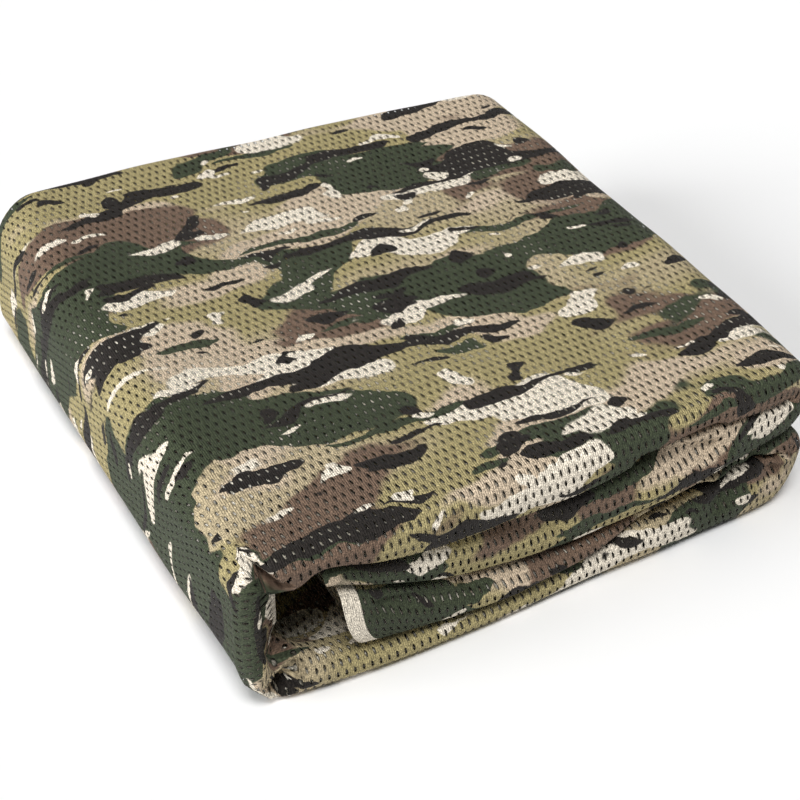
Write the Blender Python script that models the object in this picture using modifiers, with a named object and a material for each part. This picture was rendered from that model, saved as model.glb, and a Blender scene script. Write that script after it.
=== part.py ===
"""Folded camouflage net: one sheet of knitted mesh cloth, folded into a flat square pack.

The sheet is first folded in half three times along its length, which makes a long strip
of eight layers. The strip is then folded across into four runs that lie on each other,
with both of its ends turned inside:

    Z                     top run
    |    spine   ,----------------------.
    |           |  [end] second run ----'   right turn
    |           |  [end] third run  ----.   right turn
    |            `----------------------'
    +--- X                bottom run

X runs along the front from the spine to the right turns, Y from the front to the back,
Z up. The origin is on the surface under the middle of the pack. Metres.
"""
from math import cos, hypot, pi, sin

import bmesh
import bpy

# Driving dimensions of the pack
PACK_WIDTH = 0.350
PACK_DEPTH = 0.367
PACK_HEIGHT = 0.094
CLOTH_THICKNESS = 0.001
LENGTH_FOLDS = 3
RUNS = 4
SPINE_CORNER_RADIUS = 0.0155
FRONT_FOLD_DEPTH = 0.0095
FREE_EDGE_REACH = 0.004

# The two ends of the strip, inside the pack: where their outer layers stop, how much
# further the layers inside reach, how much earlier the lowest layer stops in front, and
# how much further all of them reach at the back
# (end, outer layers stop at x, inner reach, low corner, back reach)
STRIP_ENDS = (
    ("second", -0.130, 0.007, 0.006, 0.012),
    ("third", -0.121, 0.017, 0.016, 0.012),
)

# Number of flat stretches that each curve is built with
TURN_STEPS = 6
CORNER_STEPS = 3
SPINE_STEPS = 2
RUN_STEPS = 8
PANEL_STEPS = 3
SMALLEST_FOLD_STEPS = 3
PITCHES_FOR_ANOTHER_STEP = 1.6

# Worked out from them
LAYERS = 2 ** LENGTH_FOLDS
PITCH = (PACK_HEIGHT - CLOTH_THICKNESS) / (RUNS * LAYERS - 1)
HALF_STRIP = (LAYERS - 1) / 2 * PITCH
RUN_SPACING = LAYERS * PITCH
TURN_RADIUS = RUN_SPACING / 2
BOTTOM_MIDDLE = CLOTH_THICKNESS / 2 + HALF_STRIP
TURN_X = PACK_WIDTH / 2 - CLOTH_THICKNESS / 2 - HALF_STRIP - TURN_RADIUS
SPINE_X = -PACK_WIDTH / 2 + CLOTH_THICKNESS / 2 + HALF_STRIP
FRONT_Y = -PACK_DEPTH / 2 + CLOTH_THICKNESS / 2 + FRONT_FOLD_DEPTH
BACK_Y = PACK_DEPTH / 2 - CLOTH_THICKNESS / 2 - 1.5 * PITCH

# Heights at which the four runs meet along the front, where they sag into each other.
# One row for each place along X: (x, bottom/third, third/second, second/top)
FRONT_HEIGHTS = (
    (-0.175, 0.0220, 0.0640, 0.0795),
    (-0.130, 0.0210, 0.0640, 0.0785),
    (-0.100, 0.0160, 0.0550, 0.0705),
    (-0.060, 0.0140, 0.0420, 0.0645),
    (-0.020, 0.0130, 0.0345, 0.0645),
    (0.020, 0.0130, 0.0335, 0.0660),
    (0.060, 0.0140, 0.0360, 0.0725),
    (0.100, 0.0170, 0.0410, 0.0770),
    (0.135, 0.0210, 0.0465, 0.0750),
    (0.175, 0.0225, 0.0490, 0.0725),
)
# How far back from the front that sag reaches, and where it is full
SAG_REACH = 0.110
SAG_FULL = 0.020

# Soft hollows in the top of the pack: (x, y, reach, depth)
TOP_HOLLOWS = (
    (-0.070, 0.050, 0.100, 0.0016),
    (0.070, -0.050, 0.100, 0.0020),
    (0.110, 0.110, 0.060, 0.0010),
)

# How far the front and back edges stand back (+Y) from a true rectangle.
# One row for each place along X: (x, front, back)
EDGE_SHIFTS = (
    (-0.175, 0.0020, -0.0060),
    (-0.150, 0.0005, 0.0000),
    (-0.090, -0.0010, 0.0010),
    (0.000, 0.0010, -0.0030),
    (0.090, 0.0050, -0.0085),
    (0.140, 0.0070, -0.0125),
    (0.175, 0.0125, -0.0170),
)

# How far the foot and the crest of the spine, and the side of the turns, are moved along X.
# One row for each place along Y: (y, spine foot, spine crest, turns)
SIDE_SHIFTS = (
    (-0.184, 0.0010, 0.0000, -0.0050),
    (-0.130, 0.0010, 0.0005, -0.0015),
    (0.000, 0.0010, 0.0005, 0.0000),
    (0.110, -0.0005, 0.0015, 0.0010),
    (0.184, -0.0010, 0.0060, 0.0000),
)


def smooth_step(value, start, end):
    """0 at start, 1 at end, with soft ends."""
    share = min(1.0, max(0.0, (value - start) / (end - start)))
    return share * share * (3 - 2 * share)


def read_table(rows, place):
    """Value of each column of a table at a place, on smooth curves through its rows."""
    last = len(rows) - 1
    place = min(max(place, rows[0][0]), rows[last][0])
    index = max(i for i in range(last) if rows[i][0] <= place)
    before, low = rows[max(index - 1, 0)], rows[index]
    high, after = rows[index + 1], rows[min(index + 2, last)]
    width = high[0] - low[0]
    share = (place - low[0]) / width
    values = []
    for column in range(1, len(low)):
        slope_low = width * (high[column] - before[column]) / (high[0] - before[0])
        slope_high = width * (after[column] - low[column]) / (after[0] - low[0])
        rise = high[column] - low[column]
        bend = share * (1 - share) * ((1 - share) * (slope_low - rise) - share * (slope_high - rise))
        values.append(low[column] + rise * share + bend)
    return values


def stacking_order():
    """Panels of the sheet from the bottom of the strip to its top, after the half folds."""
    stacks = [[panel] for panel in range(LAYERS)]
    for _ in range(LENGTH_FOLDS):
        half = len(stacks) // 2
        stacks = [stacks[i] + stacks[-1 - i][::-1] for i in range(half)]
    return stacks[0]


def strip_section():
    """The whole sheet across the strip, from one free edge to the other.

    Each point is (y, height in the strip, how far out its layer lies: 0 middle, 1 outside).
    """
    order = stacking_order()
    heights = [(order.index(panel) - (LAYERS - 1) / 2) * PITCH for panel in range(LAYERS)]
    points = []
    for panel, height in enumerate(heights):
        towards_front = panel % 2 == 0
        start, end = (BACK_Y, FRONT_Y) if towards_front else (FRONT_Y, BACK_Y)
        if panel == 0:
            start += FREE_EDGE_REACH
        last = panel == LAYERS - 1
        if last:
            end += FREE_EDGE_REACH / 2
        for step in range(PANEL_STEPS + (1 if last else 0)):
            y = start + (end - start) * step / PANEL_STEPS
            points.append((y, height, abs(height) / HALF_STRIP))
        if last:
            break
        middle = (height + heights[panel + 1]) / 2
        radius = (heights[panel + 1] - height) / 2
        if towards_front:
            depth = -FRONT_FOLD_DEPTH * abs(radius) / HALF_STRIP
        else:
            depth = abs(radius)
        steps = SMALLEST_FOLD_STEPS + int(abs(radius) / (PITCHES_FOR_ANOTHER_STEP * PITCH))
        for step in range(steps):
            angle = pi * step / steps
            rise = middle - radius * cos(angle)
            outward = abs(radius if towards_front else rise) / HALF_STRIP
            points.append((end + depth * sin(angle), rise, outward))
    return points


def strip_path():
    """Stations along the strip's middle line, from its second-run end to its third-run end.

    Each is (x, z, out_x, out_z, shares): the place in XZ, the direction to the outer side,
    and how much of each free end's shift is felt there.
    """
    z_bottom = BOTTOM_MIDDLE
    z_third = z_bottom + RUN_SPACING
    z_second = z_third + RUN_SPACING
    z_top = z_second + RUN_SPACING
    corner = SPINE_CORNER_RADIUS
    second_end, third_end = (row[1] for row in STRIP_ENDS)
    stations = []

    def add(x, z, out_x, out_z, second=0.0, third=0.0):
        stations.append((x, z, out_x, out_z, (second, third)))

    def add_run(start, end, z, out_z):
        for step in range(RUN_STEPS):
            add(start + (end - start) * step / RUN_STEPS, z, 0.0, out_z)

    def add_arc(x, z, radius, start, end, steps):
        for step in range(steps):
            angle = start + (end - start) * step / steps
            add(x + radius * cos(angle), z + radius * sin(angle), cos(angle), sin(angle))

    for step in range(RUN_STEPS):
        share = step / RUN_STEPS
        add(second_end + (TURN_X - second_end) * share, z_second, 0.0, -1.0, second=1 - share)
    add_arc(TURN_X, z_second + TURN_RADIUS, TURN_RADIUS, -pi / 2, pi / 2, TURN_STEPS)
    add_run(TURN_X, SPINE_X + corner, z_top, 1.0)
    add_arc(SPINE_X + corner, z_top - corner, corner, pi / 2, pi, CORNER_STEPS)
    spine_top = z_top - corner
    spine_bottom = z_bottom + corner
    for step in range(SPINE_STEPS):
        add(SPINE_X, spine_top + (spine_bottom - spine_top) * step / SPINE_STEPS, -1.0, 0.0)
    add_arc(SPINE_X + corner, z_bottom + corner, corner, pi, 1.5 * pi, CORNER_STEPS)
    add_run(SPINE_X + corner, TURN_X, z_bottom, -1.0)
    add_arc(TURN_X, z_bottom + TURN_RADIUS, TURN_RADIUS, -pi / 2, pi / 2, TURN_STEPS)
    for step in range(RUN_STEPS + 1):
        share = step / RUN_STEPS
        add(TURN_X + (third_end - TURN_X) * share, z_third, 0.0, 1.0, third=share)
    return stations


def end_shift(shares, y, height, outward):
    """How far a point near a free end of the strip lies from where its outer layers stop."""
    at_back = smooth_step(y, FRONT_Y, BACK_Y)
    inner = 1 - outward ** 2
    shift = 0.0
    for share, low_side, row in zip(shares, (1.0, -1.0), STRIP_ENDS):
        _, _, inner_reach, low_corner, back_reach = row
        low = max(0.0, (1 + low_side * height / HALF_STRIP) / 2) ** 3
        reach = inner_reach * inner + back_reach * at_back - low_corner * low * (1 - at_back)
        shift -= share ** 3 * reach
    return shift


def settle(x, y, z):
    """Moves a point of the even pack to where the uneven pack has it."""
    sag = smooth_step(y, -PACK_DEPTH / 2 + SAG_REACH, -PACK_DEPTH / 2 + SAG_FULL)
    lowest = CLOTH_THICKNESS / 2
    rise = PACK_HEIGHT - CLOTH_THICKNESS
    meets = read_table(FRONT_HEIGHTS, x)
    even = [lowest + rise * (LAYERS * run - 0.5) / (RUNS * LAYERS - 1) for run in range(1, RUNS)]
    levels = [lowest] + even + [lowest + rise]
    hollow = 0.0
    for hollow_x, hollow_y, reach, depth in TOP_HOLLOWS:
        hollow += depth * smooth_step(hypot(x - hollow_x, y - hollow_y), reach, 0.0)
    uneven = [a + (b - a) * sag for a, b in zip(even, meets)]
    moved = [lowest] + uneven + [lowest + rise - hollow]
    run = 0
    while run < RUNS - 1 and z > levels[run + 1]:
        run += 1
    share = (z - levels[run]) / (levels[run + 1] - levels[run])
    new_z = moved[run] + (moved[run + 1] - moved[run]) * share

    front, back = read_table(EDGE_SHIFTS, x)
    towards_back = y / PACK_DEPTH + 0.5
    foot, crest, turns = read_table(SIDE_SHIFTS, y)
    spine = foot + (crest - foot) * new_z / PACK_HEIGHT
    towards_turns = x / PACK_WIDTH + 0.5
    new_x = x + spine + (turns - spine) * towards_turns
    new_y = y + front + (back - front) * towards_back
    return new_x, new_y, new_z


def make_material():
    """Knitted polyester mesh with a camouflage print, in its mean colour."""
    material = bpy.data.materials.new("printed_mesh_cloth")
    material.use_nodes = True
    shader = material.node_tree.nodes["Principled BSDF"]
    shader.inputs["Base Color"].default_value = (0.18, 0.17, 0.10, 1.0)
    shader.inputs["Roughness"].default_value = 0.85
    shader.inputs["Metallic"].default_value = 0.0
    return material


def make_cloth():
    """The whole sheet: a flat grid whose points are moved to their places in the fold."""
    section = strip_section()
    path = strip_path()
    columns = len(path)
    rows = len(section)
    mesh = bpy.data.meshes.new("folded_cloth")
    shape = bmesh.new()
    bmesh.ops.create_grid(shape, x_segments=columns - 1, y_segments=rows - 1, size=1.0)
    for vertex in shape.verts:
        column = round((vertex.co.x + 1) / 2 * (columns - 1))
        row = round((vertex.co.y + 1) / 2 * (rows - 1))
        x, z, out_x, out_z, shares = path[column]
        y, height, outward = section[row]
        x += out_x * height + end_shift(shares, y, height, outward)
        vertex.co = settle(x, y, z + out_z * height)
    off_centre = [0.0, 0.0, 0.0]
    for axis in (0, 1):
        places = [vertex.co[axis] for vertex in shape.verts]
        off_centre[axis] = -(min(places) + max(places)) / 2
    bmesh.ops.translate(shape, verts=shape.verts, vec=off_centre)
    bmesh.ops.recalc_face_normals(shape, faces=shape.faces)
    shape.to_mesh(mesh)
    shape.free()
    mesh.shade_smooth()
    mesh.materials.append(make_material())
    cloth = bpy.data.objects.new("folded_cloth", mesh)
    solidify = cloth.modifiers.new("cloth thickness", "SOLIDIFY")
    solidify.thickness = CLOTH_THICKNESS
    solidify.offset = 0.0
    solidify.use_even_offset = True
    solidify.use_quality_normals = True
    return cloth


def main():
    for leftover in list(bpy.data.objects):
        bpy.data.objects.remove(leftover, do_unlink=True)
    collection = bpy.data.collections.new("folded_camouflage_net")
    bpy.context.scene.collection.children.link(collection)
    collection.objects.link(make_cloth())


main()
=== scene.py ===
"""Folded camouflage net: the knitted mesh cloth with its print, holes and creases, and its stage.

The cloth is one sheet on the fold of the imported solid: folded in half three times along its
length, which makes a strip of eight layers, and then across into four runs with both ends
turned inside. X runs along the front from the spine to the right turns, Y from the front to
the back, Z up. Metres.
"""
from math import cos, pi, radians, sin

import bmesh
import bpy
import numpy as np
from bpy.props import FloatProperty, FloatVectorProperty, PointerProperty
from mathutils import Matrix, Vector


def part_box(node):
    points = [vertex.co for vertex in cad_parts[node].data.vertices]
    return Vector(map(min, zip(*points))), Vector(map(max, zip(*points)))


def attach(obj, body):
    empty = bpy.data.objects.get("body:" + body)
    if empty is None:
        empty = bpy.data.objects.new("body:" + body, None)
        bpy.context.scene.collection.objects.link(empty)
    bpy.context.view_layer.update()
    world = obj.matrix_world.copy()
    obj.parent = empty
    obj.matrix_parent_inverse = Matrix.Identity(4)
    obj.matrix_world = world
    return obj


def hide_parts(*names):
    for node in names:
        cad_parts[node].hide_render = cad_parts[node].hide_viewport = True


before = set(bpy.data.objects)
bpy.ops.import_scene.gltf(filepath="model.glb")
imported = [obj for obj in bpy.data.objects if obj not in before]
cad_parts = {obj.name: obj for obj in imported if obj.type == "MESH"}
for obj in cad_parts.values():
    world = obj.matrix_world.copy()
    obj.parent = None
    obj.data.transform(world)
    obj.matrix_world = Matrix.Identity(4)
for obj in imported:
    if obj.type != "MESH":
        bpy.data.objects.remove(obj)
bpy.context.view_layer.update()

bl_info = {
    "name": "Folded camouflage net",
    "version": (1, 0, 0),
    "blender": (4, 5, 0),
    "location": "View3D > Sidebar > Net",
    "description": "Adds a folded camouflage net of printed mesh cloth, and its stage",
    "category": "Add Mesh",
}

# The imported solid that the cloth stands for, and its sizes
CLOTH_NODE = "folded_cloth"
PACK_WIDTH = 0.350
PACK_DEPTH = 0.367
PACK_HEIGHT = 0.094
CLOTH_THICKNESS = 0.001
LENGTH_FOLDS = 3
RUNS = 4
SPINE_CORNER_RADIUS = 0.0155
FRONT_FOLD_DEPTH = 0.0095
FREE_EDGE_REACH = 0.004

# The two ends of the strip, inside the pack: where their outer layers stop, how much
# further the layers inside reach, how much earlier the lowest layer stops in front, and
# how much further all of them reach at the back
# (end, outer layers stop at x, inner reach, low corner, back reach)
STRIP_ENDS = (
    ("second", -0.130, -0.005, 0.006, 0.016),
    ("third", -0.121, -0.006, 0.016, 0.016),
)

LAYERS = 2 ** LENGTH_FOLDS
PITCH = (PACK_HEIGHT - CLOTH_THICKNESS) / (RUNS * LAYERS - 1)
HALF_STRIP = (LAYERS - 1) / 2 * PITCH
RUN_SPACING = LAYERS * PITCH
TURN_RADIUS = RUN_SPACING / 2
BOTTOM_MIDDLE = CLOTH_THICKNESS / 2 + HALF_STRIP
TURN_X = PACK_WIDTH / 2 - CLOTH_THICKNESS / 2 - HALF_STRIP - TURN_RADIUS
SPINE_X = -PACK_WIDTH / 2 + CLOTH_THICKNESS / 2 + HALF_STRIP
FRONT_Y = -PACK_DEPTH / 2 + CLOTH_THICKNESS / 2 + FRONT_FOLD_DEPTH
BACK_Y = PACK_DEPTH / 2 - CLOTH_THICKNESS / 2 - 1.5 * PITCH

# Places of the eight layers in the strip, in pitches from its middle: the second layer from
# either side lies close under the outer one, as pressed cloth does
LAYER_PLACES = (-3.5, -2.9, -1.6, -0.5, 0.5, 1.6, 2.9, 3.5)
# How far the loop inside the outermost front fold stays behind it
SECOND_LOOP_GAP = 0.0030

# Heights at which the four runs meet along the front, where they sag into each other.
# One row for each place along X: (x, bottom/third, third/second, second/top)
FRONT_HEIGHTS = (
    (-0.175, 0.0300, 0.0640, 0.0795),
    (-0.158, 0.0345, 0.0640, 0.0795),
    (-0.145, 0.0290, 0.0640, 0.0790),
    (-0.125, 0.0205, 0.0630, 0.0775),
    (-0.100, 0.0165, 0.0525, 0.0695),
    (-0.060, 0.0140, 0.0375, 0.0645),
    (-0.020, 0.0130, 0.0305, 0.0635),
    (0.000, 0.0160, 0.0290, 0.0635),
    (0.020, 0.0180, 0.0290, 0.0640),
    (0.040, 0.0220, 0.0310, 0.0670),
    (0.060, 0.0275, 0.0340, 0.0715),
    (0.080, 0.0295, 0.0360, 0.0755),
    (0.100, 0.0330, 0.0390, 0.0770),
    (0.135, 0.0365, 0.0450, 0.0740),
    (0.175, 0.0340, 0.0490, 0.0725),
)
# How far back from the front that sag reaches, and where it is full
SAG_REACH = 0.110
SAG_FULL = 0.020
# How far back the front of each run stands, and over what distance behind it that fades.
# One row for each place along X: (x, bottom, third, second, top)
RUN_SHIFTS = (
    (-0.175, 0.0000, 0.0000, 0.0000, 0.0000),
    (-0.130, 0.0000, 0.0000, 0.0030, 0.0000),
    (-0.090, 0.0000, 0.0005, 0.0040, -0.0005),
    (-0.030, 0.0010, 0.0000, 0.0045, 0.0000),
    (0.030, 0.0020, 0.0020, 0.0025, -0.0005),
    (0.065, 0.0000, 0.0070, -0.0010, 0.0000),
    (0.095, 0.0000, 0.0080, -0.0015, 0.0000),
    (0.145, 0.0000, 0.0050, 0.0010, 0.0000),
    (0.175, 0.0000, 0.0000, 0.0000, 0.0000),
)
RUN_SHIFT_REACH = 0.045
# Share of the gap beside a cleft between two runs that closes at the front
CLEFT_CLOSING = 0.40

# Soft hollows in the top of the pack: (x, y, reach, depth)
TOP_HOLLOWS = (
    (-0.070, 0.050, 0.100, 0.0016),
    (0.070, -0.050, 0.100, 0.0020),
    (0.110, 0.110, 0.060, 0.0010),
)

# How far the front and back edges stand back (+Y) from a true rectangle.
# One row for each place along X: (x, front, back)
EDGE_SHIFTS = (
    (-0.175, 0.0020, -0.0060),
    (-0.150, 0.0005, 0.0000),
    (-0.090, -0.0010, 0.0010),
    (0.000, 0.0010, -0.0030),
    (0.090, 0.0050, -0.0085),
    (0.140, 0.0070, -0.0125),
    (0.175, 0.0125, -0.0170),
)

# How far the foot and the crest of the spine, and the side of the turns, are moved along X.
# One row for each place along Y: (y, spine foot, spine crest, turns)
SIDE_SHIFTS = (
    (-0.184, 0.0010, 0.0000, -0.0050),
    (-0.130, 0.0010, 0.0005, -0.0015),
    (0.000, 0.0010, 0.0005, 0.0000),
    (0.110, -0.0005, 0.0015, 0.0010),
    (0.184, -0.0010, 0.0060, 0.0000),
)

# Creases pressed into the front folds, as soft troughs (depth above 0) and ridges (below 0).
# (start x, start z, end x, end z, half width, depth, reach behind the front)
FRONT_CREASES = (
    (-0.166, 0.096, -0.154, 0.076, 0.0048, 0.0170, 0.030),
    (-0.1535, 0.0140, -0.1485, 0.0195, 0.0100, 0.0250, 0.058),
    (-0.1660, 0.000, -0.1600, 0.008, 0.0080, -0.0030, 0.020),
    (-0.030, 0.060, 0.000, 0.050, 0.0110, 0.0050, 0.036),
    (0.052, 0.073, 0.099, 0.064, 0.0085, 0.0065, 0.030),
    (0.055, 0.052, 0.110, 0.058, 0.0100, -0.0035, 0.030),
    (-0.100, 0.043, -0.050, 0.031, 0.0060, 0.0055, 0.030),
    (-0.050, 0.031, 0.005, 0.0265, 0.0060, 0.0055, 0.030),
    (0.106, 0.0345, 0.152, 0.0345, 0.0070, -0.0050, 0.030),
    (0.105, 0.077, 0.152, 0.071, 0.0060, -0.0040, 0.026),
    (0.108, 0.020, 0.122, 0.034, 0.0100, 0.0055, 0.032),
    (0.132, 0.041, 0.146, 0.028, 0.0070, 0.0050, 0.030),
)
# Distance behind the front up to which a crease keeps its full depth
CREASE_FULL = 0.010
# Share of the creases' depth that the flat cloth has length for, and the most that it has
CREASE_CLOTH = (0.6, 0.006)
# The spine's front is drawn in to this share of its thickness, fully up to the first distance
# behind the front and no longer at the second
SPINE_FRONT_SHARE = 0.68
SPINE_FRONT_FULL = 0.0090
SPINE_FRONT_REACH = 0.0150
# How far from half the pack's height that ends and is full, in shares of the height, and how
# much thicker than its layers the spine is taken
SPINE_FRONT_HEIGHTS = (0.42, 0.30)
SPINE_MARGIN = 0.006
# Behind that its inner layers swell into the hollow: (share of its thickness, distances behind
# the front where that is full and where it ends, heights where it starts, is full, and ends)
SPINE_SWELL = (0.26, 0.022, 0.055, 0.028, 0.042, 0.068, 0.082)
# The lowest layer of the top run hangs into the hollow beside the spine:
# (x start, x lowest, x end, drop, reach behind the front)
HANGING_FLAP = (-0.158, -0.145, -0.130, 0.0095, 0.045)
# Its layers start to hang this share of half the strip's thickness below the middle
FLAP_LAYERS = 0.2
# The bottom run's top layers sink behind its front, beside the spine:
# (x start, x deepest, x end, distances behind the front where it starts, is deepest and
# ends, depth)
FLOOR_DIP = (-0.162, -0.140, -0.100, 0.010, 0.042, 0.140, 0.0165)

# Waves of the cloth's slack over the top and sides: (waves a metre along X, along Y, phase, height)
SLACK_WAVES = (
    (3.1, 5.3, 0.4, 0.00050),
    (-5.2, 7.9, 1.9, 0.00035),
    (9.3, -4.1, 3.3, 0.00028),
    (6.1, 15.2, 5.0, 0.00022),
    (-17.0, 9.5, 0.9, 0.00014),
)
# Heights between which they rise to their full size, in shares of the pack's height
SLACK_HEIGHTS = (0.3, 1.0)
# Waves of the gap between the two outermost layers: (waves a metre along X, along Y, phase),
# the sums of the waves that give its least and most, those two, and how far from the front
# and back folds it is full
GAP_WAVES = ((9.0, 5.0, 0.3), (-6.0, 11.0, 2.1), (4.0, -14.0, 4.4), (17.0, 8.0, 1.2))
GAP_WAVE_RANGE = (-1.6, 1.9)
LEAST_GAP = 0.0004
MOST_GAP = 0.0030
GAP_REACH = 0.040
# The sheet has no thickness, so it is let down by nearly half the solid's, to the floor
SETTLED_BY = 0.0004

# Grid of the sheet: longest step along the path, and number of steps across each panel and fold
RUN_STEP = 0.0036
INNER_RUN_STEP = 0.0050
ARC_STEP = 0.0038
PANEL_STEPS = (20, 66, 8, 7, 7, 8, 34, 10)
FOLD_STEPS = (22, 8, 4, 5, 6, 5, 12)
# Share of the steps across a panel that are evenly spaced: the others crowd to the front
EVEN_STEPS = 0.5

# Over this distance from the strip's ends the cloth shears so that its edge stays straight
EDGE_REACH = 0.060

# Distances behind the front where its holes start to be drawn open, and where that is full
DRAWN_OPEN_REACH = (0.070, 0.012)

# Names of the sheet's maps: its place on the flat cloth in metres, the same from 0 to 1 for
# baking, and where its holes are drawn open
CLOTH_MAP = "cloth_metres"
BAKE_MAP = "OFBake"
OPEN_ATTRIBUTE = "drawn_open"

# The mesh cloth's colours as sRGB: the seven of its print, and its bare back
COLOURS = {
    "khaki": "#A0946A",
    "tan": "#B2A384",
    "beige": "#C2B098",
    "brown": "#705C4D",
    "green": "#3C4331",
    "cream": "#E3D9C7",
    "dark": "#26221F",
    "reverse": "#D2CDC0",
}
# Share of the bare back in the colour of the cloth's back, where the print shows through
BACK_SHARE = 0.80

# Layers of the print over its khaki ground, each over the one before. Its shapes are longer
# along the cloth's width than across it.
# (colour, mean length, mean height, place in the noise, cover, softness, detail)
PRINT_LAYERS = (
    ("tan", 0.190, 0.110, (20.1, 9.9, 0.0), 0.565, 0.050, 1.0),
    ("beige", 0.120, 0.050, (39.4, 5.3, 0.0), 0.590, 0.030, 1.5),
    ("brown", 0.130, 0.060, (32.6, 22.6, 0.0), 0.600, 0.016, 2.0),
    ("green", 0.140, 0.072, (4.4, 30.9, 0.0), 0.550, 0.004, 2.5),
    ("green", 0.120, 0.020, (3.2, 26.6, 0.0), 0.690, 0.004, 1.5),
    ("cream", 0.090, 0.030, (5.1, 6.4, 0.0), 0.650, 0.006, 1.5),
    ("dark", 0.090, 0.024, (26.0, 49.8, 0.0), 0.635, 0.004, 1.5),
    ("dark", 0.032, 0.014, (8.3, 14.2, 0.0), 0.730, 0.006, 0.5),
    ("cream", 0.028, 0.014, (38.0, 56.9, 0.0), 0.765, 0.006, 0.5),
)
# The edges of its shapes wander: (wanders a metre, metres)
PRINT_WOBBLES = ((28.0, 0.016), (150.0, 0.0028))

# Holes: spacing along a row, spacing of the rows, length and width of one hole, how much
# wider one end is, as a share, and how far it leans for its length
HOLE_PITCH = 0.0047
ROW_SPACING = 0.0064
SLIT_LENGTH = 0.0036
SLIT_WIDTH = 0.00125
SLIT_TAPER = 0.25
SLIT_LEAN = -0.14
# Sizes of the holes by area: the smallest, how much larger the largest is, and how much
# larger one is over the front folds
HOLE_SIZES = (0.75, 0.50)
DRAWN_OPEN = 0.35
SELVEDGE_WIDTH = 0.0105
# Wales of the knit to each hole, and how much their shade and height vary. Their shade is partly
# the yarn's own tone and partly painted shade, darker where they are low. The real ones are
# about 0.6 mm apart, too fine for the render, so that they are drawn 1.2 mm apart.
WALES_A_HOLE = 4
WALE_PAINTED_SHADE = 0.12
WALE_HEIGHT = 0.25
# Flecks of yarn, a metre, the part of their noise that shows, and how much darker and lighter
# they are. Real yarn is 0.2 mm thick, and its flecks are drawn 0.9 mm wide.
FLECKS = 1100.0
FLECK_RANGE = (0.25, 0.75)
FLECK_SHADES = (0.60, 1.44)
# Width and height of one stitch, how much darker and lighter the stitches are, and how far
# the ink strays from one to the next. Real stitches are about 0.5 mm, and are drawn 0.6 mm.
STITCH = (0.00060, 0.00060)
STITCH_SHADES = (0.66, 1.36)
STITCH_STRAY = 0.0004
# The yarn round each hole is as thick as the cloth, so that one looks through its middle and at
# its wall around that, which lies in its own shadow, drawn as painted shade: where the wall
# starts, where its painted shade is still darkest and where it ends, by area, and how much light it
# gets
HOLE_WALL = (0.64, 0.82, 1.10)
HOLE_WALL_PAINTED_SHADE = 0.03
# The lip round each hole sinks from here, by area, to the hole's edge
LIP_START = 3.0

# Stage: lights as (name, direction that it comes from, strength, width in degrees)
LIGHTS = (
    ("key_light", (-1.3, -2.0, 5.8), 2.35, 22.0),
    ("side_light", (-5.5, 0.4, 2.6), 2.30, 30.0),
)
ROOM_LIGHT = 0.05
FLOOR_COLOUR = "#F8F8F8"
FLOOR_FLAT = 3.0
FLOOR_EDGE = 9.0
FLOOR_RISE = 1.9
FLOOR_STEPS = 72

# Camera that the photograph's framing gives: place in metres, turns in degrees
IMAGE_SIZE = 800
SENSOR_MM = 36.0
FOCAL_PIXELS = 1813.8
CAMERA_PLACE = (-0.40336, -0.7374, 0.65624)
CAMERA_YAW = 29.2037
CAMERA_PITCH = 37.5717
CAMERA_ROLL = 1.078


def linear(colour):
    """An sRGB hex colour as linear red, green, blue and alpha."""
    parts = [int(colour[i:i + 2], 16) / 255 for i in (1, 3, 5)]
    return tuple(c / 12.92 if c <= 0.04045 else ((c + 0.055) / 1.055) ** 2.4 for c in parts) + (1.0,)


def smooth_step(value, start, end):
    """0 at start, 1 at end, with soft ends."""
    share = np.clip((value - start) / (end - start), 0.0, 1.0)
    return share * share * (3 - 2 * share)


def read_table(rows, places):
    """Value of each column of a table at each place, on smooth curves through its rows."""
    table = np.array(rows)
    at = table[:, 0]
    last = len(at) - 1
    places = np.clip(places, at[0], at[last])
    index = np.clip(np.searchsorted(at, places, side="right") - 1, 0, last - 1)
    before = np.maximum(index - 1, 0)
    after = np.minimum(index + 2, last)
    width = at[index + 1] - at[index]
    share = (places - at[index]) / width
    values = []
    for column in table.T[1:]:
        low, high = column[index], column[index + 1]
        slope_low = width * (high - column[before]) / (at[index + 1] - at[before])
        slope_high = width * (column[after] - low) / (at[after] - at[index])
        rise = high - low
        bend = share * (1 - share) * ((1 - share) * (slope_low - rise) - share * (slope_high - rise))
        values.append(low + rise * share + bend)
    return values


def stacking_order():
    """Panels of the sheet from the bottom of the strip to its top, after the half folds."""
    stacks = [[panel] for panel in range(LAYERS)]
    for _ in range(LENGTH_FOLDS):
        half = len(stacks) // 2
        stacks = [stacks[i] + stacks[-1 - i][::-1] for i in range(half)]
    return stacks[0]


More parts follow.
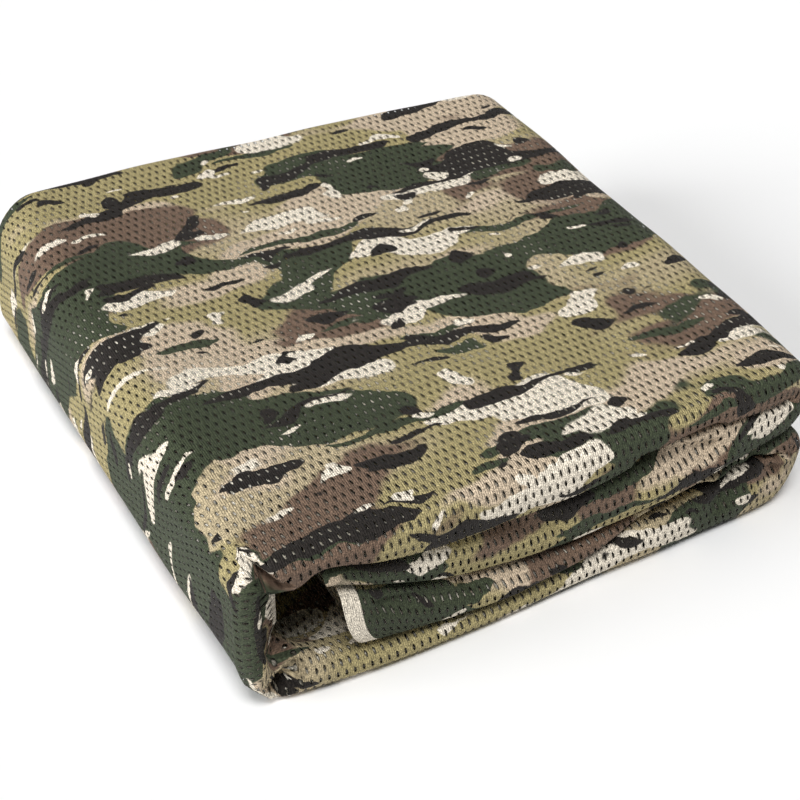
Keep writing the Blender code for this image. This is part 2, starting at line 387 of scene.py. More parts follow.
def strip_section():
    """The whole sheet across the strip, from one free edge to the other.

    Arrays of y, height in the strip, how far out the layer lies (0 middle, 1 outside), and
    the panel, which is -1 on a fold.
    """
    order = stacking_order()
    heights = [LAYER_PLACES[order.index(panel)] * PITCH for panel in range(LAYERS)]
    points = []
    for panel, height in enumerate(heights):
        towards_front = panel % 2 == 0
        start, end = (BACK_Y, FRONT_Y) if towards_front else (FRONT_Y, BACK_Y)
        if panel == 0:
            start += FREE_EDGE_REACH
        last = panel == LAYERS - 1
        if last:
            end += FREE_EDGE_REACH / 2
        steps = PANEL_STEPS[panel]
        for step in range(steps + (1 if last else 0)):
            share = step / steps
            from_front = 1 - share if towards_front else share
            from_front = EVEN_STEPS * from_front + (1 - EVEN_STEPS) * from_front ** 2
            share = 1 - from_front if towards_front else from_front
            y = start + (end - start) * share
            points.append((y, height, abs(height) / HALF_STRIP, panel))
        if last:
            break
        middle = (height + heights[panel + 1]) / 2
        radius = (heights[panel + 1] - height) / 2
        if towards_front:
            depth = -FRONT_FOLD_DEPTH * abs(radius) / HALF_STRIP
            if panel == LAYERS - 2:
                depth = -(FRONT_FOLD_DEPTH - SECOND_LOOP_GAP)
        else:
            depth = abs(radius)
        steps = FOLD_STEPS[panel]
        for step in range(steps):
            angle = pi * step / steps
            rise = middle - radius * cos(angle)
            outward = abs(radius if towards_front else rise) / HALF_STRIP
            points.append((end + depth * sin(angle), rise, outward, -1))
    return np.array(points).T


def strip_path():
    """Stations along the strip's middle line, from its second-run end to its third-run end.

    Arrays of x, z, out_x, out_z, second share, third share, and the stretch that each
    belongs to: the line is parted in the middle of each turn and corner, where cloth is
    tucked away.
    """
    z_bottom = BOTTOM_MIDDLE
    z_third = z_bottom + RUN_SPACING
    z_second = z_third + RUN_SPACING
    z_top = z_second + RUN_SPACING
    corner = SPINE_CORNER_RADIUS
    second_end, third_end = (row[1] for row in STRIP_ENDS)
    stations = []
    stretch = 0

    def add(x, z, out_x, out_z, second=0.0, third=0.0):
        stations.append((x, z, out_x, out_z, second, third, stretch))

    def add_run(start, end, z, out_z, longest, second=False, third=False):
        steps = round(abs(end - start) / longest)
        for step in range(steps):
            share = step / steps
            add(start + (end - start) * share, z, 0.0, out_z,
                1 - share if second else 0.0, share if third else 0.0)

    def add_arc(x, z, radius, start, end):
        nonlocal stretch
        half_steps = max(2, round((radius + HALF_STRIP) * abs(end - start) / ARC_STEP / 2))
        for step in range(2 * half_steps):
            if step == half_steps:
                stretch += 1
            angle = start + (end - start) * step / (2 * half_steps)
            add(x + radius * cos(angle), z + radius * sin(angle), cos(angle), sin(angle))

    add_run(second_end, TURN_X, z_second, -1.0, RUN_STEP, second=True)
    add_arc(TURN_X, z_second + TURN_RADIUS, TURN_RADIUS, -pi / 2, pi / 2)
    add_run(TURN_X, SPINE_X + corner, z_top, 1.0, RUN_STEP)
    add_arc(SPINE_X + corner, z_top - corner, corner, pi / 2, pi)
    spine_steps = round((z_top - z_bottom - 2 * corner) / RUN_STEP)
    for step in range(spine_steps):
        z = z_top - corner + (z_bottom + 2 * corner - z_top) * step / spine_steps
        add(SPINE_X, z, -1.0, 0.0)
    add_arc(SPINE_X + corner, z_bottom + corner, corner, pi, 1.5 * pi)
    add_run(SPINE_X + corner, TURN_X, z_bottom, -1.0, INNER_RUN_STEP)
    add_arc(TURN_X, z_bottom + TURN_RADIUS, TURN_RADIUS, -pi / 2, pi / 2)
    add_run(TURN_X, third_end, z_third, 1.0, RUN_STEP, third=True)
    add(third_end, z_third, 0.0, 1.0, third=1.0)
    return np.array(stations).T


def end_shift(shares, y, height, outward):
    """How far a point near a free end of the strip lies from where its outer layers stop."""
    at_back = smooth_step(y, FRONT_Y, BACK_Y)
    inner = 1 - outward ** 2
    shift = 0.0
    for share, low_side, row in zip(shares, (1.0, -1.0), STRIP_ENDS):
        _, _, inner_reach, low_corner, back_reach = row
        low = np.maximum(0.0, (1 + low_side * height / HALF_STRIP) / 2) ** 3
        reach = inner_reach * inner + back_reach * at_back - low_corner * low * (1 - at_back)
        shift = shift - share ** 3 * reach
    return shift


def close_clefts(share, below, above, closing):
    """Moves the layers of a run towards the clefts below and above it."""
    towards_low = share * (1 - share) ** 2
    towards_high = share ** 2 * (1 - share)
    return share - closing * (towards_low * below - towards_high * above)


def sunk_floor(x, y):
    """How far the bottom run's top sinks behind its front, beside the spine."""
    start, deepest, end, near, middle, far, depth = FLOOR_DIP
    behind = y + PACK_DEPTH / 2
    along = smooth_step(x, start, deepest) * smooth_step(x, end, deepest)
    return depth * along * smooth_step(behind, near, middle) * smooth_step(behind, far, middle)


def settle(x, y, z):
    """Moves points of the even pack to where the uneven pack has them."""
    sag = smooth_step(y, -PACK_DEPTH / 2 + SAG_REACH, -PACK_DEPTH / 2 + SAG_FULL)
    lowest = CLOTH_THICKNESS / 2
    rise = PACK_HEIGHT - CLOTH_THICKNESS
    meets = read_table(FRONT_HEIGHTS, x)
    even = [lowest + rise * (LAYERS * run - 0.5) / (RUNS * LAYERS - 1) for run in range(1, RUNS)]
    levels = [lowest] + even + [lowest + rise]
    hollow = 0.0
    for hollow_x, hollow_y, reach, depth in TOP_HOLLOWS:
        hollow = hollow + depth * smooth_step(np.hypot(x - hollow_x, y - hollow_y), reach, 0.0)
    uneven = [a + (b - a) * sag for a, b in zip(even, meets)]
    uneven[0] = uneven[0] - sunk_floor(x, y)
    moved = [lowest + 0 * x] + uneven + [lowest + rise - hollow]
    new_z = np.zeros_like(z)
    run_shift = np.zeros_like(z)
    at_front = smooth_step(y, -PACK_DEPTH / 2 + RUN_SHIFT_REACH, -PACK_DEPTH / 2 + SAG_FULL)
    run_shifts = read_table(RUN_SHIFTS, x)
    for run in range(RUNS):
        inside = (z > levels[run]) | (run == 0)
        share = (z - levels[run]) / (levels[run + 1] - levels[run])
        share = close_clefts(share, run > 0, run < RUNS - 1, CLEFT_CLOSING * sag)
        new_z = np.where(inside, moved[run] + (moved[run + 1] - moved[run]) * share, new_z)
        run_shift = np.where(inside, run_shifts[run] * at_front, run_shift)

    front, back = read_table(EDGE_SHIFTS, x)
    towards_back = y / PACK_DEPTH + 0.5
    foot, crest, turns = read_table(SIDE_SHIFTS, y)
    spine = foot + (crest - foot) * new_z / PACK_HEIGHT
    towards_turns = x / PACK_WIDTH + 0.5
    new_x = x + spine + (turns - spine) * towards_turns
    new_y = y + front + (back - front) * towards_back + run_shift
    return new_x, new_y, new_z


def draw_in_spine(x, y, z):
    """New X of each point: the spine's layers are drawn in at the front and swell behind it."""
    outside = -PACK_WIDTH / 2
    inside = outside + 2 * HALF_STRIP + SPINE_MARGIN
    behind = y + PACK_DEPTH / 2
    middle_height = smooth_step(np.abs(z / PACK_HEIGHT - 0.5), *SPINE_FRONT_HEIGHTS)
    drawn_in = smooth_step(behind, SPINE_FRONT_REACH, SPINE_FRONT_FULL) * middle_height
    swell, full, end, low, low_full, high_full, high = SPINE_SWELL
    swollen = smooth_step(behind, SPINE_FRONT_FULL, full) * smooth_step(behind, end, full)
    swollen = swollen * smooth_step(z, low, low_full) * smooth_step(z, high, high_full)
    share = 1 - (1 - SPINE_FRONT_SHARE) * drawn_in + swell * swollen
    return np.where(x < inside, outside + (x - outside) * share, x)


def hang_flap(x, y, z, height):
    """How far the lowest layer of the top run hangs down beside the spine."""
    start, lowest, end, drop, reach = HANGING_FLAP
    along = smooth_step(x, start, lowest) * smooth_step(x, end, lowest)
    low_layers = smooth_step(height, -HALF_STRIP * FLAP_LAYERS, -HALF_STRIP)
    fade = smooth_step(y, -PACK_DEPTH / 2 + reach, -PACK_DEPTH / 2)
    return drop * along * low_layers * fade * (z > PACK_HEIGHT / 2)


def crease_front(x, y, z, depth_share):
    """How far the creases of the front folds push each point back."""
    push = 0.0
    for start_x, start_z, end_x, end_z, half_width, depth, reach in FRONT_CREASES:
        along_x, along_z = end_x - start_x, end_z - start_z
        share = ((x - start_x) * along_x + (z - start_z) * along_z) / (along_x ** 2 + along_z ** 2)
        share = np.clip(share, 0.0, 1.0)
        away = np.hypot(x - start_x - share * along_x, z - start_z - share * along_z)
        fade = smooth_step(y, -PACK_DEPTH / 2 + reach, -PACK_DEPTH / 2 + CREASE_FULL)
        push = push + depth * smooth_step(away, half_width, 0.0) * fade
    return push * depth_share


def waves(rows, x, y):
    """Sum of the table's waves, each weighed by its height, or by 1 where none is given."""
    total = 0.0
    for row in rows:
        per_x, per_y, phase = row[:3]
        height = row[3] if len(row) > 3 else 1.0
        total = total + height * np.sin(2 * pi * (per_x * x + per_y * y) + phase)
    return total


def fold_sheet(settings):
    """The sheet's grid, in rows across the strip and columns along it.

    Its places, its places without the creases for measuring the flat cloth, the stretch of
    the path that each column belongs to, and the panel of each row.
    """
    y, height, outward, panel = (row[:, None] for row in strip_section())
    x, z, out_x, out_z, second, third, stretch = (row[None, :] for row in strip_path())
    flat_share = smooth_step(y, FRONT_Y, FRONT_Y + GAP_REACH)
    flat_share = flat_share * smooth_step(y, BACK_Y, BACK_Y - GAP_REACH)
    gap_share = smooth_step(waves(GAP_WAVES, x, y), *GAP_WAVE_RANGE)
    gap = LEAST_GAP + (MOST_GAP - LEAST_GAP) * gap_share
    under_outer = panel == LAYERS - 2
    loose = (HALF_STRIP - gap) - height
    height = height + np.where(under_outer, loose * flat_share, 0.0)
    grid_x = x + out_x * height + end_shift((second, third), y, height, outward)
    grid_z = z + out_z * height
    grid_y = y + 0 * grid_x
    grid_x, grid_y, grid_z = settle(grid_x, grid_y, grid_z)
    slack = waves(SLACK_WAVES, grid_x, grid_y)
    rise = grid_z / PACK_HEIGHT
    grid_z = grid_z + settings.slack * slack * smooth_step(rise, *SLACK_HEIGHTS)
    share, most = CREASE_CLOTH
    taken_up = np.clip(crease_front(grid_x, grid_y, grid_z, share), -most, most)
    uncreased = np.stack([grid_x, grid_y + taken_up, grid_z], axis=-1)
    grid_z = grid_z - hang_flap(grid_x, grid_y, grid_z, height + 0 * grid_x)
    grid_x = draw_in_spine(grid_x, grid_y, grid_z)
    grid_y = grid_y + crease_front(grid_x, grid_y, grid_z, settings.crease_depth)
    places = np.stack([grid_x, grid_y, grid_z - SETTLED_BY], axis=-1)
    return places, uncreased, stretch[0].astype(int), panel[:, 0].astype(int)


def flat_lengths(places, axis):
    """Length along the cloth from the first row or column to each point."""
    steps = np.linalg.norm(np.diff(places, axis=axis), axis=-1)
    start = np.zeros_like(np.take(steps, [0], axis=axis))
    return np.concatenate([start, np.cumsum(steps, axis=axis)], axis=axis)


def centre_in(places, low, high):
    """Moves the grid so that its box is centred on the solid's box in X and Y."""
    for axis in (0, 1):
        middle = (places[..., axis].min() + places[..., axis].max()) / 2
        places[..., axis] += (low[axis] + high[axis]) / 2 - middle


def lay_out(places, stretch, panel):
    """Where each grid point lies on the flat cloth, for each stretch of the path.

    All rows agree at the middle of each stretch, and near the cloth's two edges they are
    shifted until they agree there too. Gives the places along the cloth's width for each
    stretch, those along its length, and the width.
    """
    along = flat_lengths(places, axis=1)
    across = flat_lengths(places, axis=0)
    outer = np.flatnonzero(panel == 1)
    outer_row = outer[len(outer) // 2]
    last = stretch.max()
    maps = []
    for part in range(last + 1):
        columns = np.flatnonzero(stretch == part)
        middle = columns[len(columns) // 2]
        agreed = along - along[:, middle:middle + 1] + along[outer_row, middle]
        for edge in (0, -1):
            if columns[edge] == (0, along.shape[1] - 1)[edge]:
                at_edge = along - along[:, edge][:, None] + along[outer_row, edge]
                away = np.abs(along[outer_row] - along[outer_row, edge])
                agreed = agreed + (at_edge - agreed) * smooth_step(away, EDGE_REACH, 0.0)
        maps.append(agreed)
    across = across - across[outer_row:outer_row + 1, :] + across[outer_row].mean()
    return maps, across, along[outer_row, -1]


def make_net(settings):
    """The net's sheet as one mesh, with its place on the flat cloth as a UV map in metres."""
    places, uncreased, stretch, panel = fold_sheet(settings)
    low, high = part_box(CLOTH_NODE)
    centre_in(places, low, high)
    maps, across, cloth_width = lay_out(uncreased, stretch, panel)
    rows, columns = places.shape[:2]

    mesh = bpy.data.meshes.new("net_cloth")
    shape = bmesh.new()
    bmesh.ops.create_grid(shape, x_segments=columns - 1, y_segments=rows - 1, size=1.0)
    bmesh.ops.reverse_faces(shape, faces=shape.faces)
    shape.to_mesh(mesh)
    shape.free()
    flat = np.zeros(len(mesh.vertices) * 3)
    mesh.vertices.foreach_get("co", flat)
    flat = flat.reshape(-1, 3)
    column = np.rint((flat[:, 0] + 1) / 2 * (columns - 1)).astype(int)
    row = np.rint((flat[:, 1] + 1) / 2 * (rows - 1)).astype(int)
    mesh.vertices.foreach_set("co", places[row, column].ravel())
    behind = places[row, column, 1] + PACK_DEPTH / 2
    drawn_open = mesh.attributes.new(OPEN_ATTRIBUTE, "FLOAT", "POINT")
    drawn_open.data.foreach_set("value", smooth_step(behind, *DRAWN_OPEN_REACH))

    corner = np.zeros(len(mesh.loops), dtype=int)
    mesh.loops.foreach_get("vertex_index", corner)
    corner_column = column[corner]
    corner_row = row[corner]
    face_column = corner_column.reshape(-1, 4).min(axis=1).repeat(4)
    part = stretch[face_column]
    along = np.array(maps)[part, corner_row, corner_column]
    places_flat = np.stack([along, across[corner_row, corner_column]], axis=-1)
    cloth_map = mesh.uv_layers.new(name=CLOTH_MAP)
    cloth_map.data.foreach_set("uv", places_flat.ravel())
    bake_map = mesh.uv_layers.new(name=BAKE_MAP)
    lowest = places_flat.min(axis=0)
    bake_places = (places_flat - lowest) / (places_flat.max(axis=0) - lowest)
    bake_map.data.foreach_set("uv", bake_places.ravel())
    mesh.shade_smooth()
    mesh.update()
    net = bpy.data.objects.new("net_cloth", mesh)
    bpy.context.scene.collection.objects.link(net)
    return net, cloth_width


def add_node(tree, kind, inputs, output=0, **settings):
    """Adds a node with its settings, and its inputs as values or as links from other nodes.

    Gives one of its outputs, or the node where it has none.
    """
    made = tree.nodes.new("ShaderNode" + kind)
    for name, value in settings.items():
        setattr(made, name, value)
    for socket, value in inputs.items():
        if isinstance(value, bpy.types.NodeSocket):
            tree.links.new(value, made.inputs[socket])
        else:
            made.inputs[socket].default_value = value
    return made.outputs[output] if made.outputs else made


def print_colour(tree, places, colours):
    """The camouflage print: soft ground colours, then crisp shapes printed over them."""
    bent = places
    for scale, reach in PRINT_WOBBLES:
        wobble = add_node(tree, "TexNoise", {"Vector": places, "Scale": scale, "Detail": 1.0},
                          "Color", noise_dimensions="2D")
        wobble = add_node(tree, "VectorMath", {0: wobble, 1: (0.5, 0.5, 0.5)}, operation="SUBTRACT")
        wobble = add_node(tree, "VectorMath", {0: wobble, "Scale": reach}, operation="SCALE")
        bent = add_node(tree, "VectorMath", {0: bent, 1: wobble}, operation="ADD")
    ground = colours["khaki"]
    for name, length, height, offset, cover, softness, detail in PRINT_LAYERS:
        scaled = add_node(tree, "VectorMath", {0: bent, 1: (1 / length, 1 / height, 0.0), 2: offset},
                          operation="MULTIPLY_ADD")
        noise = add_node(tree, "TexNoise",
                         {"Vector": scaled, "Scale": 1.0, "Detail": detail, "Roughness": 0.45},
                         noise_dimensions="2D")
        shapes = add_node(tree, "MapRange",
                          {"Value": noise, "From Min": cover - softness, "From Max": cover + softness},
                          interpolation_type="SMOOTHSTEP")
        ground = add_node(tree, "Mix", {"Factor": shapes, 6: ground, 7: colours[name]}, 2,
                          data_type="RGBA")
    return ground


def hole_pattern(tree, along, across, settings):
    """How far each point lies from the middle of its hole: 1 on the hole's edge.

    The holes are slits along the cloth's length in staggered rows, a little wider at one end.
    """
    row = add_node(tree, "Math", {0: across, 1: settings.row_spacing}, operation="DIVIDE")
    row_number = add_node(tree, "Math", {0: row}, operation="FLOOR")
    odd = add_node(tree, "Math", {0: row_number, 1: 1.0}, operation="PINGPONG")
    column = add_node(tree, "Math", {0: along, 1: settings.hole_spacing}, operation="DIVIDE")
    column = add_node(tree, "Math", {0: odd, 1: 0.5, 2: column}, operation="MULTIPLY_ADD")
    column_number = add_node(tree, "Math", {0: column}, operation="FLOOR")

    y = add_node(tree, "Math", {0: row, 1: row_number}, operation="SUBTRACT")
    y = add_node(tree, "Math", {0: y, 1: 0.5}, operation="SUBTRACT")
    y = add_node(tree, "Math", {0: y, 1: settings.row_spacing}, operation="MULTIPLY")
    x = add_node(tree, "Math", {0: column, 1: column_number}, operation="SUBTRACT")
    x = add_node(tree, "Math", {0: x, 1: 0.5}, operation="SUBTRACT")
    x = add_node(tree, "Math", {0: x, 1: settings.hole_spacing}, operation="MULTIPLY")
    x = add_node(tree, "Math", {0: y, 1: SLIT_LEAN, 2: x}, operation="MULTIPLY_ADD")

    half_width, half_length = settings.slit_width / 2, settings.slit_length / 2
    taper = add_node(tree, "Math", {0: y, 1: -SLIT_TAPER * half_width / half_length, 2: half_width},
                     operation="MULTIPLY_ADD")
    x = add_node(tree, "Math", {0: x, 1: taper}, operation="DIVIDE")
    y = add_node(tree, "Math", {0: y, 1: half_length}, operation="DIVIDE")
    x = add_node(tree, "Math", {0: x, 1: x}, operation="MULTIPLY")
    y = add_node(tree, "Math", {0: y, 1: y}, operation="MULTIPLY")
    reach = add_node(tree, "Math", {0: x, 1: y}, operation="ADD")

    cell = add_node(tree, "CombineXYZ", {0: column_number, 1: row_number})
    size = add_node(tree, "TexWhiteNoise", {"Vector": cell}, noise_dimensions="2D")
    smallest, spread = HOLE_SIZES
    size = add_node(tree, "Math", {0: size, 1: spread, 2: smallest}, operation="MULTIPLY_ADD")
    open_share = add_node(tree, "Attribute", {}, "Fac", attribute_name=OPEN_ATTRIBUTE)
    size = add_node(tree, "Math", {0: open_share, 1: DRAWN_OPEN, 2: size}, operation="MULTIPLY_ADD")
    return add_node(tree, "Math", {0: reach, 1: size}, operation="DIVIDE")


def mesh_cloth_material(cloth_width, settings):
    """Polyester warp-knit mesh, screen printed on its face and bare on its back.

    The yarn is dull and the inks soak in, so that the cloth is matt and hardly shiny. Its
    print is crisp, and its holes show the pale back of the layer below, with painted shade on their
    walls.
    Fine wales, stitches and flecks of yarn break up each colour, and the wales carry painted shade in
    their grooves.
    """
    material = bpy.data.materials.new("printed_polyester_mesh")
    material.use_nodes = True
    tree = material.node_tree
    tree.nodes.clear()
    colours = {name: tuple(getattr(settings, name)) + (1.0,) for name in COLOURS}
    places = add_node(tree, "UVMap", {}, uv_map=CLOTH_MAP)
    along = add_node(tree, "SeparateXYZ", {0: places})
    across = along.node.outputs[1]

    # Holes everywhere apart from the two selvedges
    reach = hole_pattern(tree, along, across, settings)
    from_end = add_node(tree, "Math", {0: cloth_width, 1: along}, operation="SUBTRACT")
    from_edge = add_node(tree, "Math", {0: along, 1: from_end}, operation="MINIMUM")
    in_hole = add_node(tree, "Math", {0: reach, 1: HOLE_WALL[0]}, operation="LESS_THAN")
    inside = add_node(tree, "Math", {0: from_edge, 1: settings.selvedge_width},
                      operation="GREATER_THAN")
    open_hole = add_node(tree, "Math", {0: in_hole, 1: inside}, operation="MULTIPLY")
    solid = add_node(tree, "Math", {0: 1.0, 1: open_hole}, operation="SUBTRACT")

    # The print, which one selvedge stays free of, and its pale show-through on the back.
    # Its edges are ragged, because each stitch takes the ink as a whole.
    stitch = add_node(tree, "VectorMath", {0: places, 1: (1 / STITCH[0], 1 / STITCH[1], 0.0)},
                      operation="MULTIPLY")
    stitch = add_node(tree, "VectorMath", {0: stitch}, operation="FLOOR")
    stitch_shade = add_node(tree, "TexWhiteNoise", {"Vector": stitch}, noise_dimensions="2D")
    stray = add_node(tree, "VectorMath", {0: stitch_shade.node.outputs["Color"],
                                          1: (0.5, 0.5, 0.5)}, operation="SUBTRACT")
    stray = add_node(tree, "VectorMath", {0: stray, "Scale": STITCH_STRAY}, operation="SCALE")
    strayed = add_node(tree, "VectorMath", {0: places, 1: stray}, operation="ADD")
    colour = print_colour(tree, strayed, colours)
    selvedge = add_node(tree, "Math", {0: from_end, 1: settings.selvedge_width},
                        operation="LESS_THAN")
    colour = add_node(tree, "Mix", {"Factor": selvedge, 6: colour, 7: colours["cream"]}, 2,
                      data_type="RGBA")
    back = add_node(tree, "Mix", {"Factor": BACK_SHARE, 6: colour, 7: colours["reverse"]}, 2,
                    data_type="RGBA")
    side = add_node(tree, "NewGeometry", {}, "Backfacing")
    colour = add_node(tree, "Mix", {"Factor": side, 6: colour, 7: back}, 2, data_type="RGBA")

    # Wales, flecks and stitches as shades of the colour, with painted shade in the wales' grooves and
    # on the walls of the holes
    wale = add_node(tree, "Math", {0: along, 1: 2 * pi * WALES_A_HOLE / settings.hole_spacing},
                    operation="MULTIPLY")
    wale = add_node(tree, "Math", {0: wale}, operation="SINE")
    flecks = add_node(tree, "TexNoise", {"Vector": places, "Scale": FLECKS, "Detail": 2.0},
                      noise_dimensions="2D")
    flecks = add_node(tree, "MapRange",
                      {"Value": flecks, "From Min": FLECK_RANGE[0], "From Max": FLECK_RANGE[1],
                       "To Min": FLECK_SHADES[0], "To Max": FLECK_SHADES[1]})
    # The wales' shade is partly painted shade: darker where their relief is low
    shade = add_node(tree, "Math", {0: wale, 1: WALE_PAINTED_SHADE, 2: 1.0}, operation="MULTIPLY_ADD")
    shade = add_node(tree, "Math", {0: shade, 1: flecks}, operation="MULTIPLY")
    # Painted shade: each hole's wall is darkened as if it lay in its own shadow
    painted_wall_shade = add_node(tree, "MapRange", {"Value": reach, "From Min": HOLE_WALL[1],
                                       "From Max": HOLE_WALL[2], "To Min": HOLE_WALL_PAINTED_SHADE},
                    interpolation_type="SMOOTHSTEP")
    painted_wall_shade = add_node(tree, "Mix", {"Factor": inside, "A": 1.0, "B": painted_wall_shade})
    shade = add_node(tree, "Math", {0: shade, 1: painted_wall_shade}, operation="MULTIPLY")
    stitches = add_node(tree, "MapRange", {"Value": stitch_shade, "To Min": STITCH_SHADES[0],
                                           "To Max": STITCH_SHADES[1]})
    shade = add_node(tree, "Math", {0: shade, 1: stitches}, operation="MULTIPLY")
    colour = add_node(tree, "VectorMath", {0: colour, "Scale": shade}, operation="SCALE")

    # Relief: a thin lip sinks into each hole, between the wales
    lip = add_node(tree, "MapRange", {"Value": reach, "From Min": 1.0, "From Max": LIP_START},
                   interpolation_type="SMOOTHSTEP")
    relief = add_node(tree, "Math", {0: wale, 1: WALE_HEIGHT, 2: lip}, operation="MULTIPLY_ADD")
    bump = add_node(tree, "Bump", {"Strength": 1.0, "Distance": 0.0006, "Height": relief})
    face = add_node(tree, "BsdfPrincipled",
                    {"Base Color": colour, "Roughness": 0.75, "Specular IOR Level": 0.20,
                     "Sheen Weight": 0.03, "Sheen Roughness": 0.5, "Alpha": solid,
                     "Normal": bump})
    add_node(tree, "OutputMaterial", {"Surface": face})
    return material


def floor_material(settings):
    """White paper backdrop, uncoated: even and matt, with hardly any shine."""
    material = bpy.data.materials.new("uncoated_white_paper")
    material.use_nodes = True
    tree = material.node_tree
    shader = tree.nodes["Principled BSDF"]
    shader.inputs["Base Color"].default_value = tuple(settings.floor_colour) + (1.0,)
    shader.inputs["Roughness"].default_value = 0.9
    shader.inputs["Specular IOR Level"].default_value = 0.2
    return material


def make_floor(settings):
    """A sheet of paper, flat under the net and raised far away, so that no horizon shows."""
    mesh = bpy.data.meshes.new("studio_floor")
    shape = bmesh.new()
    bmesh.ops.create_grid(shape, x_segments=FLOOR_STEPS, y_segments=FLOOR_STEPS, size=FLOOR_EDGE)
    for vertex in shape.verts:
        away = min(max((vertex.co.length - FLOOR_FLAT) / (FLOOR_EDGE - FLOOR_FLAT), 0.0), 1.0)
        vertex.co.z = FLOOR_RISE * away * away
    shape.to_mesh(mesh)
    shape.free()
    mesh.shade_smooth()
    mesh.materials.append(floor_material(settings))
    floor = bpy.data.objects.new("studio_floor", mesh)
    bpy.context.scene.collection.objects.link(floor)


def make_lights(settings):
    """Two wide, far softboxes and the faint light of the room."""
    world = bpy.data.worlds.new("studio_room")
    bpy.context.scene.world = world
    world.use_nodes = True
    background = world.node_tree.nodes["Background"]
    background.inputs["Color"].default_value = (1.0, 1.0, 1.0, 1.0)
    background.inputs["Strength"].default_value = settings.room_light
    for name, direction, _, width in LIGHTS:
        light = bpy.data.lights.new(name, "SUN")
        light.energy = getattr(settings, name)
        light.angle = radians(width)
        lamp = bpy.data.objects.new(name, light)
        lamp.location = direction
        lamp.rotation_euler = Vector(direction).to_track_quat("Z", "Y").to_euler()
        bpy.context.scene.collection.objects.link(lamp)


def make_camera(scene, settings):
    """The camera at the photograph's place and angle."""
    yaw, pitch, roll = (radians(turn) for turn in (CAMERA_YAW, CAMERA_PITCH, CAMERA_ROLL))
    forward = Vector((sin(yaw) * cos(pitch), cos(yaw) * cos(pitch), -sin(pitch)))
    level = Vector((cos(yaw), -sin(yaw), 0.0))
    upright = level.cross(forward)
    right = level * cos(roll) + upright * sin(roll)
    up = upright * cos(roll) - level * sin(roll)
    data = bpy.data.cameras.new("photo_camera")
    data.sensor_width = SENSOR_MM
    data.lens = settings.focal_length
    camera = bpy.data.objects.new("photo_camera", data)
    turn = Matrix((right, up, -forward)).transposed()
    camera.matrix_world = Matrix.Translation(CAMERA_PLACE) @ turn.to_4x4()
    scene.collection.objects.link(camera)
    scene.camera = camera


def size_property(name, description, default):
    """A length that the user can change."""
    return FloatProperty(name=name, description=description, default=default, min=0.0001,
                         unit="LENGTH", precision=4)


def colour_property(name, description, colour):
    """A colour that the user can change, from its sRGB hex value."""
    return FloatVectorProperty(name=name, description=description, default=linear(colour)[:3],
                               size=3, min=0.0, max=1.0, subtype="COLOR")


class NetClothSettings(bpy.types.PropertyGroup):
    """Sizes and colours of the mesh cloth."""

    hole_spacing: size_property("Hole spacing", "From one hole to the next in a row", HOLE_PITCH)
    row_spacing: size_property("Row spacing", "From one row of holes to the next", ROW_SPACING)
    slit_length: size_property("Hole length", "Length of one hole", SLIT_LENGTH)
    slit_width: size_property("Hole width", "Width of one hole", SLIT_WIDTH)
    selvedge_width: size_property("Selvedge", "Width of the edges without holes", SELVEDGE_WIDTH)
    crease_depth: FloatProperty(name="Creases", description="Depth of the creases in the front folds",
                                default=1.0, min=0.0, max=1.2, subtype="FACTOR")
    slack: FloatProperty(name="Slack", description="Height of the cloth's slack waves over the top",
                         default=1.0, min=0.0, max=2.0, subtype="FACTOR")
    khaki: colour_property("Khaki", "Ground colour of the print", COLOURS["khaki"])
    tan: colour_property("Tan", "Soft patches in the ground", COLOURS["tan"])
    beige: colour_property("Beige", "Soft light patches in the ground", COLOURS["beige"])
    brown: colour_property("Brown", "Brown shapes", COLOURS["brown"])
    green: colour_property("Green", "Dark green shapes", COLOURS["green"])
    cream: colour_property("Cream", "Pale shapes and the unprinted selvedge", COLOURS["cream"])
    dark: colour_property("Dark", "Nearly black shapes", COLOURS["dark"])
    reverse: colour_property("Reverse", "Bare back of the cloth", COLOURS["reverse"])


class NetStageSettings(bpy.types.PropertyGroup):
    """Lights, floor and camera."""

    floor_colour: colour_property("Floor", "Colour of the paper floor", FLOOR_COLOUR)
    key_light: FloatProperty(name="Key light", description="Strength of the light from above",
                             default=LIGHTS[0][2], min=0.0)
    side_light: FloatProperty(name="Side light", description="Strength of the light from the left",
                              default=LIGHTS[1][2], min=0.0)
    room_light: FloatProperty(name="Room light", description="Strength of the light all round",
                              default=ROOM_LIGHT, min=0.0)
    focal_length: FloatProperty(name="Focal length", description="Focal length of the camera in mm",
                                default=FOCAL_PIXELS / IMAGE_SIZE * SENSOR_MM, min=10.0,
                                unit="CAMERA")


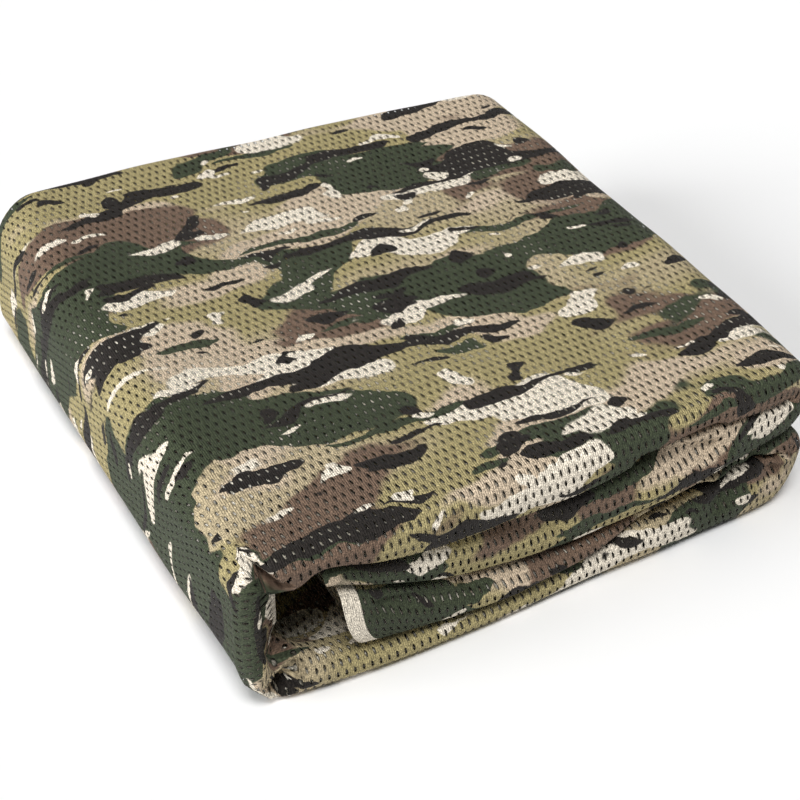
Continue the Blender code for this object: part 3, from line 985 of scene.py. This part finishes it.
class AddNetCloth(bpy.types.Operator):
    """Adds the folded mesh cloth of the net"""

    bl_idname = "camouflage_net.add_cloth"
    bl_label = "Add folded net"

    def execute(self, context):
        settings = context.scene.net_cloth_settings
        if settings.slit_width >= settings.hole_spacing or settings.slit_length >= settings.row_spacing:
            raise ValueError("The holes are larger than their spacing")
        net, cloth_width = make_net(settings)
        net.data.materials.append(mesh_cloth_material(cloth_width, settings))
        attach(net, "root")
        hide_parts(CLOTH_NODE)
        return {"FINISHED"}


class AddNetStage(bpy.types.Operator):
    """Adds the floor, the lights and the camera"""

    bl_idname = "camouflage_net.add_stage"
    bl_label = "Add stage"

    def execute(self, context):
        settings = context.scene.net_stage_settings
        if settings.key_light + settings.side_light + settings.room_light <= 0:
            raise ValueError("The stage has no light")
        make_floor(settings)
        make_lights(settings)
        make_camera(context.scene, settings)
        context.scene.view_settings.view_transform = "Standard"
        return {"FINISHED"}


class NET_PT_panel(bpy.types.Panel):
    """Lists the settings and the operators that build the net"""

    bl_idname = "NET_PT_panel"
    bl_label = "Camouflage net"
    bl_space_type = "VIEW_3D"
    bl_region_type = "UI"
    bl_category = "Net"

    def draw(self, context):
        groups = (
            (context.scene.net_cloth_settings, AddNetCloth),
            (context.scene.net_stage_settings, AddNetStage),
        )
        for settings, operator in groups:
            box = self.layout.box()
            for name in settings.__annotations__:
                box.prop(settings, name)
            box.operator(operator.bl_idname)


CLASSES = (NetClothSettings, NetStageSettings, AddNetCloth, AddNetStage, NET_PT_panel)


def register():
    """Makes the classes and their settings known to Blender."""
    for cls in CLASSES:
        bpy.utils.register_class(cls)
    bpy.types.Scene.net_cloth_settings = PointerProperty(type=NetClothSettings)
    bpy.types.Scene.net_stage_settings = PointerProperty(type=NetStageSettings)


def unregister():
    """Takes them away again."""
    del bpy.types.Scene.net_stage_settings
    del bpy.types.Scene.net_cloth_settings
    for cls in reversed(CLASSES):
        bpy.utils.unregister_class(cls)


def main():
    """Builds the net and its stage."""
    register()
    bpy.ops.camouflage_net.add_cloth()
    bpy.ops.camouflage_net.add_stage()


if __name__ == "__main__":
    main()
